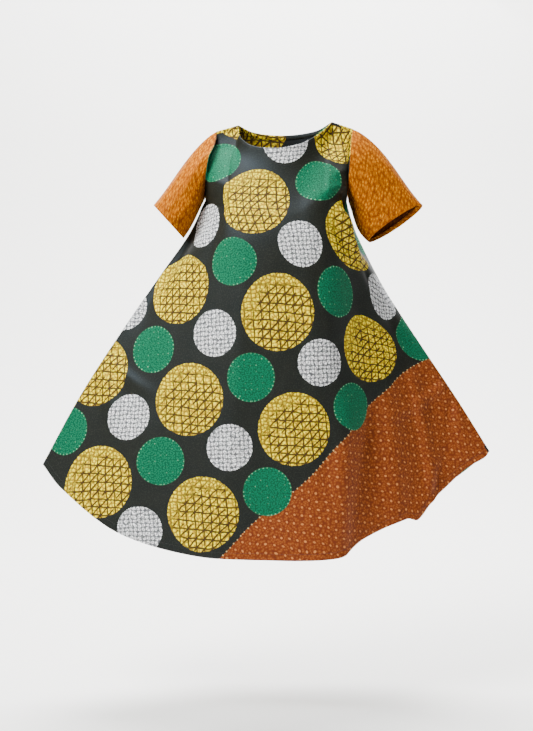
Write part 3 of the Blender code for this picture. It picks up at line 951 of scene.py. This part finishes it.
def weave_height(wire, cut):
    """Height of the fine weave and of the slubs in it."""
    weave = wire.product(wire.noise(cut, 1500.0, 2.0), 0.35)
    slub = wire.product(wire.noise(cut, 45.0, 3.0), 0.65)
    return wire.math("ADD", weave, slub)


def disc_print_group():
    """The body cloth: dark ground, three kinds of disc and the orange corner."""
    tree, wire, given, out = new_group(
        "disc print",
        [("Cut", "NodeSocketVector", None), ("Orange", "NodeSocketFloat", 1.0),
         ("Shift", "NodeSocketVector", None), ("Fade", "NodeSocketFloat", 0.0)],
        [("Colour", "NodeSocketColor"), ("Roughness", "NodeSocketFloat"),
         ("Height", "NodeSocketFloat")])
    cut = given["Cut"]
    repeat = wire.add(drifted(wire, cut), given["Shift"])
    beyond, along = beyond_edge(wire, cut)
    ragged = wire.product(wire.math("SUBTRACT", wire.noise(cut, 90.0, 2.0), 0.5), 0.005)
    beyond = wire.math("ADD", beyond, ragged)
    orange = wire.product(wire.ease(beyond, -0.0008, 0.0008), given["Orange"])
    colour = wire.mix(orange, dark_ground(wire, cut), orange_colour(wire, cut))
    beads = wire.product(edge_beads(wire, along, beyond), given["Orange"])
    colour = wire.mix(beads, colour, CREAM)
    covered = orange
    kept = wire.math("SUBTRACT", 1.0, orange, clamp=True)
    for disc, painter, ragged_by in ((GOLD_DISC, gold_colour, 0.0030),
                                     (WHITE_DISC, white_colour, 0.0024),
                                     (GREEN_DISC, green_colour, 0.0014)):
        inside, number = disc_place(wire, repeat, disc)
        own = own_place(wire, inside, number)
        wobble = wire.math("SUBTRACT", wire.noise(own, 130.0, 1.0), 0.5)
        away = wire.math("ADD", wire.length(inside), wire.product(wobble, ragged_by))
        mask = wire.ease(away, disc.radius + 0.0005, disc.radius - 0.0005)
        whole = 1.0 if disc is GREEN_DISC else kept
        middle, _ = beyond_edge(wire, wire.less(cut, inside))
        furthest = DISC_INTO_ORANGE[disc.name]
        off_orange = wire.ease(middle, furthest + 0.001, furthest)
        shown = wire.larger(off_orange, wire.math("SUBTRACT", 1.0, given["Orange"]))
        mask = wire.product(mask, wire.product(shown, whole))
        colour = wire.mix(mask, colour, painter(wire, inside, number))
        covered = wire.larger(covered, mask)
    # Painted shade: the wrong side shows the print darkened, standing in for the shade inside the
    # dress.
    wrong = wire.vector("MULTIPLY", colour, PRINT_WRONG_SIDE_SHADE).outputs["Vector"]
    wire.put(out["Colour"], wire.mix(given["Fade"], colour, wrong))
    wire.put(out["Roughness"], wire.math("ADD", 0.54, wire.product(covered, 0.18)))
    wire.put(out["Height"], weave_height(wire, cut))
    return tree


def orange_print_group():
    """The sleeve cloth: orange with close, pale pebble spots."""
    tree, wire, given, out = new_group(
        "orange print",
        [("Cut", "NodeSocketVector", None), ("Fade", "NodeSocketFloat", 0.0)],
        [("Colour", "NodeSocketColor"), ("Roughness", "NodeSocketFloat"),
         ("Height", "NodeSocketFloat")])
    cut = given["Cut"]
    point = wire.warped(cut, cut, 30.0, 0.010)
    gx, gy = wire.on_grid(point, SLEEVE_GRID)
    pebbles = wire.cells(wire.join(gx, gy), 1.0, 0.72)
    spot = wire.ease(pebbles, 0.26, 0.10)
    gap = wire.ease(pebbles, 0.32, 0.62)
    fine = wire.cells(cut, 210.0, 1.0)
    tone = wire.mix(wire.noise(cut, 50.0, 3.0), SLEEVE_ORANGE, SLEEVE_LIGHT)
    tone = wire.mix(wire.product(gap, 0.65), tone, SLEEVE_DEEP)
    tone = wire.mix(wire.product(wire.ease(fine, 0.35, 0.12), 0.25), tone, SLEEVE_SPOT)
    strong = wire.ease(wire.noise(cut, 55.0, 1.0), 0.25, 0.70)
    colour = wire.mix(wire.product(spot, strong), tone, SLEEVE_SPOT)
    # Painted shade: the sleeve's wrong side shows the print much darkened, for the shade inside
    # it.
    wrong = wire.vector("MULTIPLY", colour, SLEEVE_WRONG_SIDE_SHADE).outputs["Vector"]
    wire.put(out["Colour"], wire.mix(given["Fade"], colour, wrong))
    wire.put(out["Roughness"], wire.math("ADD", 0.50, wire.product(gap, 0.08)))
    wire.put(out["Height"], weave_height(wire, cut))
    return tree


# Waxed cotton: its cool shine, and how the weave's height is laid on.
SHINE = tint(0.560, 0.760, 1.000)
WEAVE_STRENGTH = 0.25
WEAVE_DEPTH = 0.0006


def cloth_material(name, group, settings, gloss=0.21):
    """A cloth with one of the two prints on its flat cut."""
    material = bpy.data.materials.new(name)
    material.use_nodes = True
    wire = Wiring(material.node_tree)
    shader = material.node_tree.nodes["Principled BSDF"]
    cut = wire.node("ShaderNodeUVMap", uv_map="cut").outputs[0]
    looks = wire.node("ShaderNodeGroup", node_tree=group)
    wire.put(looks.inputs["Cut"], cut)
    for label, value in settings.items():
        wire.put(looks.inputs[label], value)
    bump = wire.node("ShaderNodeBump")
    bump.inputs["Strength"].default_value = WEAVE_STRENGTH
    bump.inputs["Distance"].default_value = WEAVE_DEPTH
    wire.put(bump.inputs["Height"], looks.outputs["Height"])
    wire.put(shader.inputs["Base Color"], looks.outputs["Colour"])
    wire.put(shader.inputs["Roughness"], looks.outputs["Roughness"])
    wire.put(shader.inputs["Normal"], bump.outputs[0])
    shader.inputs["Specular IOR Level"].default_value = gloss
    shader.inputs["Specular Tint"].default_value = SHINE
    return material


def thread_material(name, colour):
    """Matt sewing thread, a little darker in places."""
    material = bpy.data.materials.new(name)
    material.use_nodes = True
    wire = Wiring(material.node_tree)
    shader = material.node_tree.nodes["Principled BSDF"]
    spot = wire.node("ShaderNodeTexCoord").outputs["Object"]
    darker = tuple(value * 0.55 for value in colour[:3]) + (1.0,)
    wire.put(shader.inputs["Base Color"], wire.mix(wire.noise(spot, 900.0, 2.0), darker, colour))
    shader.inputs["Roughness"].default_value = 0.7
    return material


# ================================================================ stitches
def stitch_tree():
    """Geometry nodes: short rounded stitches laid end to end along a line of edges."""
    tree = bpy.data.node_groups.new("stitches", "GeometryNodeTree")
    sockets = {}
    for label, kind in (("Geometry", "NodeSocketGeometry"), ("Pitch", "NodeSocketFloat"),
                        ("Stitch Length", "NodeSocketFloat"),
                        ("Thread Width", "NodeSocketFloat"), ("Thread", "NodeSocketMaterial")):
        sockets[label] = tree.interface.new_socket(label, in_out="INPUT", socket_type=kind)
    tree.interface.new_socket("Geometry", in_out="OUTPUT", socket_type="NodeSocketGeometry")
    nodes, link = tree.nodes, tree.links.new
    given = nodes.new("NodeGroupInput").outputs
    out = nodes.new("NodeGroupOutput").inputs
    curve = nodes.new("GeometryNodeMeshToCurve")
    link(given["Geometry"], curve.inputs["Mesh"])
    spaced = nodes.new("GeometryNodeResampleCurve")
    spaced.mode = "LENGTH"
    link(curve.outputs[0], spaced.inputs["Curve"])
    link(given["Pitch"], spaced.inputs["Length"])
    bead = nodes.new("GeometryNodeMeshUVSphere")
    bead.inputs["Segments"].default_value = 6
    bead.inputs["Rings"].default_value = 5
    bead.inputs["Radius"].default_value = 0.5
    tangent = nodes.new("GeometryNodeInputTangent")
    align = nodes.new("FunctionNodeAlignEulerToVector")
    align.axis = "Z"
    link(tangent.outputs[0], align.inputs["Vector"])
    size = nodes.new("ShaderNodeCombineXYZ")
    link(given["Thread Width"], size.inputs[0])
    link(given["Thread Width"], size.inputs[1])
    link(given["Stitch Length"], size.inputs[2])
    copies = nodes.new("GeometryNodeInstanceOnPoints")
    link(spaced.outputs[0], copies.inputs["Points"])
    link(bead.outputs["Mesh"], copies.inputs["Instance"])
    link(align.outputs[0], copies.inputs["Rotation"])
    link(size.outputs[0], copies.inputs["Scale"])
    real = nodes.new("GeometryNodeRealizeInstances")
    link(copies.outputs[0], real.inputs[0])
    finish = nodes.new("GeometryNodeSetMaterial")
    link(real.outputs[0], finish.inputs["Geometry"])
    link(given["Thread"], finish.inputs["Material"])
    link(finish.outputs[0], out["Geometry"])
    return tree, {label: socket.identifier for label, socket in sockets.items()}


STITCHES, STITCH_INPUTS = stitch_tree()


def stitched_line(name, line, thread):
    """One mesh of stitches along a line of points."""
    mesh = bpy.data.meshes.new(name)
    mesh.from_pydata(line.tolist(), [(i, i + 1) for i in range(len(line) - 1)], [])
    piece = new_piece(name, mesh)
    nodes = piece.modifiers.new("stitches", "NODES")
    nodes.node_group = STITCHES
    for label, value in (("Pitch", STITCH_PITCH), ("Stitch Length", STITCH_LENGTH),
                         ("Thread Width", THREAD_WIDTH), ("Thread", thread)):
        nodes[STITCH_INPUTS[label]] = value
    apply_modifiers(piece)
    piece.data.shade_smooth()
    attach(piece, "root")
    return piece


# ================================================================ the body panels
def column_shares():
    """Columns a little closer together at the side seams and at the neck points."""
    even = np.linspace(0, 1, PANEL_COLUMNS + 1)
    crowded = 0.5 - 0.5 * np.cos(math.pi * even)
    shares = (1 - COLUMN_CROWDING) * even + COLUMN_CROWDING * crowded
    for corner in (STRAP_SHARE, 1 - STRAP_SHARE):
        shares[np.argmin(np.abs(shares - corner))] = corner
    return shares


def shell(piece, right_side, wrong_side):
    """Give a sheet its thickness, inwards, with its wrong side inside."""
    piece.data.materials.append(right_side)
    piece.data.materials.append(wrong_side)
    wall = piece.modifiers.new("cloth", "SOLIDIFY")
    wall.thickness = CLOTH
    wall.offset = -1.0
    wall.material_offset = 1
    wall.material_offset_rim = 0
    return apply_modifiers(piece)


def build_panel(name, right_side, wrong_side, thread):
    """One panel with its creases, rounded seams and turned neck and hem."""
    flip = name == "back"
    across, down = column_shares(), np.linspace(0, 1, PANEL_ROWS + 1)
    form = panel_form(name, across, down)
    cut = flat_cut(name, across, down)
    normals = facing(form, flip)
    steps = np.linalg.norm(np.diff(form, axis=1), axis=-1)
    from_left = np.concatenate([np.zeros((len(down), 1)), np.cumsum(steps, axis=1)], axis=1)
    to_side = np.minimum(from_left, from_left[:, -1:] - from_left)
    strap = ((across < STRAP_SHARE) | (across > 1 - STRAP_SHARE))[None]
    to_top = np.where(strap, down[:, None], 1.0)
    quiet = smooth_step(np.minimum(to_side, to_top) / SEAM_REACH)
    lift = SEAM_LIFT + (FACE_LIFT - SEAM_LIFT) * quiet
    fine = crease_lift(name, form) + tuck_away(name, form, cut)
    lift = lift + fine * smooth_step(np.minimum(to_side, to_top) / CREASE_REACH)
    points = form + normals * lift[..., None]
    normals = facing(points, flip)
    hem_line = points[-4] + normals[-4] * STITCH_LIFT
    columns = np.where((across >= STRAP_SHARE) & (across <= 1 - STRAP_SHARE))[0]
    neck_line = points[1, columns] + normals[1, columns] * STITCH_LIFT
    points, normals, cut = roll_edge(points, normals, cut, HEM_ALLOWANCE, True)
    points, normals, cut = roll_edge(points, normals, cut, NECK_ALLOWANCE, False)
    points, cut = seam_roll(points, normals, cut)
    mesh = grid_mesh(name + "_cloth", points, cut, False, flip)
    piece = shell(new_piece(name + "_cloth", mesh), right_side, wrong_side)
    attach(piece, "root")
    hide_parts(name)
    stitches = [stitched_line(name + "_hem_stitches", hem_line, thread),
                stitched_line(name + "_neck_stitches", neck_line, thread)]


# ================================================================ the sleeves
def edge_sideways(name, side, downs):
    """How much a panel's wall at its armhole looks sideways, from 0 to 1."""
    edge, inner = (0.0, EDGE_STEP) if side == "left" else (1.0, 1 - EDGE_STEP)
    across = np.array([edge, inner])
    here = panel_form(name, across, downs)
    across_way = here[:, 1] - here[:, 0]
    above = panel_form(name, across, np.maximum(downs - EDGE_STEP, 0))[:, 0]
    below = panel_form(name, across, downs + EDGE_STEP)[:, 0]
    return np.abs(unit(np.cross(across_way, below - above))[:, 0])


def armhole_ring(sleeve):
    """Points round the armhole from the shoulder, down the front and up the back."""
    half = SLEEVE_COLUMNS // 2
    ring = []
    for name in ("front", "back"):
        shares = np.arange(half) / half if name == "front" else np.arange(half, 0, -1) / half
        edge = curve_at(ARMHOLE[name, sleeve.side], shares)
        sideways = edge_sideways(name, sleeve.side, shares * ARMHOLE_SHARE)
        edge[:, 0] += sleeve.outward * (SEAM_GAP + SEAM_RIDGE * sideways
                                        + UNDERARM_CLEARANCE * shares ** 3)
        ring.append(edge)
    return np.concatenate(ring)


def sleeve_form(sleeve, along):
    """The sleeve's plain form: rings of points from the armhole to the cuff."""
    head = armhole_ring(sleeve)
    turn = np.arange(SLEEVE_COLUMNS) / SLEEVE_COLUMNS
    angle = 2 * math.pi * turn[:, None]
    long_way = unit(sleeve.long_way)
    back_way = unit(place(0.0, 1.0, -sleeve.back_drop / sleeve.deep_half))
    cuff = (sleeve.cuff_centre - long_way * sleeve.long_half * np.cos(angle)
            - back_way * sleeve.deep_half * np.sin(angle))
    t = along[:, None, None]
    rise = sleeve.cap * np.maximum(np.cos(angle), 0.0)[None] * t * (1 - t) ** 2
    fall = sleeve.sag * np.maximum(-np.cos(angle), 0.0)[None] * t * t * (1 - t)
    return head[None] * (1 - t) + cuff[None] * t + rise + fall


def sleeve_lift(along):
    """How far a sleeve's cloth stands off its plain form, creases included."""
    turn = np.arange(SLEEVE_COLUMNS) / SLEEVE_COLUMNS
    quiet = smooth_step(along / SLEEVE_CREASE_REACH)[:, None]
    lift = np.full((len(along), SLEEVE_COLUMNS), SEAM_LIFT)
    lift += (FACE_LIFT - SEAM_LIFT) * smooth_step(along / SLEEVE_SEAM_REACH)[:, None]
    for crease in SLEEVE_CREASES:
        share = ((along - crease.along_0) / (crease.along_1 - crease.along_0))[:, None]
        line = crease.turn_0 + (crease.turn_1 - crease.turn_0) * np.clip(share, 0, 1)
        offset = (turn[None] - line + 0.5) % 1.0 - 0.5
        ends = smooth_step((share + 0.05) / SLEEVE_CREASE_FADE)
        ends = ends * smooth_step((1.1 - share) / SLEEVE_CREASE_FADE)
        lift += crease.height * ends * quiet * np.exp(-(offset / crease.width) ** 2)
    return lift


def sleeve_cut(sleeve, points):
    """The sleeve laid flat, its widest girth and its length from armhole to cuff."""
    run = np.linalg.norm(np.diff(points, axis=0), axis=-1)
    fall = np.concatenate([np.zeros((1, SLEEVE_COLUMNS)), np.cumsum(run, axis=0)])
    girth = np.linalg.norm(np.roll(points, -1, axis=1) - points, axis=-1).sum(axis=1)
    turns = np.arange(SLEEVE_COLUMNS + 1) / SLEEVE_COLUMNS
    turns = np.where(turns > 0.5, turns - 1.0, turns)
    cut = np.zeros((len(points), SLEEVE_COLUMNS + 1, 2))
    cut[..., 0] = turns[None] * girth.mean() * -sleeve.outward
    cut[..., 1] = -np.concatenate([fall, fall[:, :1]], axis=1)
    return cut, float(girth.max()), float(fall[-1].max())


def build_sleeve(sleeve, right_side, wrong_side, thread):
    """A short set-in sleeve with soft creases and a turned cuff."""
    name, flip = "sleeve_" + sleeve.side, sleeve.side == "right"
    along = np.linspace(0, 1, SLEEVE_ROWS + 1)
    form = sleeve_form(sleeve, along)
    points = form + facing(form, flip, closed=True) * sleeve_lift(along)[..., None]
    normals = facing(points, flip, closed=True)
    cut, wide, long = sleeve_cut(sleeve, points)
    points = np.concatenate([points, points[:, :1]], axis=1)
    normals = np.concatenate([normals, normals[:, :1]], axis=1)
    stitch_row = int(SLEEVE_ROWS * CUFF_STITCH_SHARE)
    line = points[stitch_row] + normals[stitch_row] * STITCH_LIFT
    points, normals, cut = roll_edge(points, normals, cut, CUFF_ALLOWANCE, True)
    points, normals, cut = roll_edge(points, normals, cut, ARMHOLE_ALLOWANCE, False)
    mesh = grid_mesh(name + "_cloth", points[:, :-1], cut, True, flip)
    piece = shell(new_piece(name + "_cloth", mesh), right_side, wrong_side)
    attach(piece, "root")
    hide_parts(name)
    stitches = stitched_line(name + "_cuff_stitches", line, thread)


# ================================================================ stage, light and camera
FLOOR = -1.43
FLOOR_REACH = 7.0
FLOOR_BEND_START = 2.2
FLOOR_BEND_RADIUS = 1.6
BACKDROP_TOP = 5.0

Light = namedtuple("Light", "name place target size watts colour")
LIGHTS = [
    Light("key", (-1.25, -1.35, 1.30), (-0.1, 0.0, -0.30), 1.2, 140.0, (1.0, 0.96, 0.88)),
    Light("sky", (-1.7, -1.3, 1.9), (0.0, 0.0, -0.20), 2.0, 60.0, (0.58, 0.76, 1.0)),
    Light("fill", (2.6, -3.4, 0.0), (0.0, 0.0, -0.50), 2.6, 9.0, (1.0, 0.84, 0.64)),
    Light("back", (1.2, 3.0, 1.8), (0.0, 0.0, -0.50), 2.5, 60.0, (0.95, 0.98, 1.0)),
    Light("backdrop", (0.0, 1.4, 3.2), (0.0, 3.8, -0.6), 3.0, 900.0, (1.0, 1.0, 1.0)),
]
WORLD_COLOUR = tint(0.93, 0.96, 1.0)
WORLD_STRENGTH = 0.19

CAMERA_PLACE = (-0.0455, -4.0, -0.276)
CAMERA_DOWN = 4.5
LENS = 80.1


def build_stage():
    """A pale floor that curves up into a pale backdrop."""
    profile = [(-FLOOR_REACH, FLOOR), (FLOOR_BEND_START, FLOOR)]
    for angle in np.radians(range(10, 91, 10)):
        profile.append((FLOOR_BEND_START + FLOOR_BEND_RADIUS * math.sin(angle),
                        FLOOR + FLOOR_BEND_RADIUS * (1 - math.cos(angle))))
    profile.append((FLOOR_BEND_START + FLOOR_BEND_RADIUS, BACKDROP_TOP))
    wide = np.linspace(-FLOOR_REACH, FLOOR_REACH, 3)
    points = np.array([[(x, y, z) for x in wide] for y, z in profile])
    mesh = bpy.data.meshes.new("floor")
    mesh.from_pydata(points.reshape(-1, 3).tolist(), [],
                     grid_faces(len(profile), 3, False, True).tolist())
    mesh.shade_smooth()
    floor = new_piece("floor", mesh)
    material = bpy.data.materials.new("pale floor")
    material.use_nodes = True
    shader = material.node_tree.nodes["Principled BSDF"]
    shader.inputs["Base Color"].default_value = (0.90, 0.89, 0.87, 1.0)
    shader.inputs["Roughness"].default_value = 0.85
    mesh.materials.append(material)


def build_light(light):
    """A round area light that looks at its target."""
    data = bpy.data.lights.new(light.name, "AREA")
    data.shape = "DISK"
    data.size = light.size
    data.energy = light.watts
    data.color = light.colour
    lamp = bpy.data.objects.new(light.name, data)
    lamp.location = light.place
    x, y, z = np.array(light.target) - np.array(light.place)
    lamp.rotation_euler = (math.atan2(math.hypot(x, y), -z), 0.0, math.atan2(x, -y) + math.pi)
    bpy.context.scene.collection.objects.link(lamp)


def build_world():
    """Pale, even light from all round."""
    world = bpy.data.worlds.new("studio")
    bpy.context.scene.world = world
    world.use_nodes = True
    background = world.node_tree.nodes["Background"]
    background.inputs["Color"].default_value = WORLD_COLOUR
    background.inputs["Strength"].default_value = WORLD_STRENGTH


def build_camera():
    """A long lens straight in front, tipped down a little."""
    data = bpy.data.cameras.new("camera")
    data.sensor_width = 36.0
    data.lens = LENS
    camera = bpy.data.objects.new("camera", data)
    camera.location = CAMERA_PLACE
    camera.rotation_euler = (math.radians(90.0 - CAMERA_DOWN), 0.0, 0.0)
    bpy.context.scene.collection.objects.link(camera)
    bpy.context.scene.camera = camera


def main():
    """The dress, then its stage."""
    disc_print, orange_print = disc_print_group(), orange_print_group()
    dark_thread = thread_material("dark thread", tint(0.02, 0.02, 0.02))
    brown_thread = thread_material("brown thread", tint(0.30, 0.08, 0.01))
    for name, settings in (("front", {"Orange": 1.0}),
                           ("back", {"Orange": 0.0, "Shift": BACK_SHIFT})):
        right_side = cloth_material(name + " cloth", disc_print, settings)
        # The wrong side takes the darkened print of painted shade.
        wrong_side = cloth_material(name + " cloth wrong side", disc_print,
                                    {**settings, "Fade": 1.0})
        build_panel(name, right_side, wrong_side, dark_thread)
    right_side = cloth_material("sleeve cloth", orange_print, {}, gloss=0.02)
    # The sleeve's wrong side takes the darkened print of painted shade.
    wrong_side = cloth_material("sleeve cloth wrong side", orange_print, {"Fade": 1.0}, gloss=0.05)
    for sleeve in SLEEVES:
        build_sleeve(sleeve, right_side, wrong_side, brown_thread)
    build_stage()
    build_world()
    for light in LIGHTS:
        build_light(light)
    build_camera()


main()
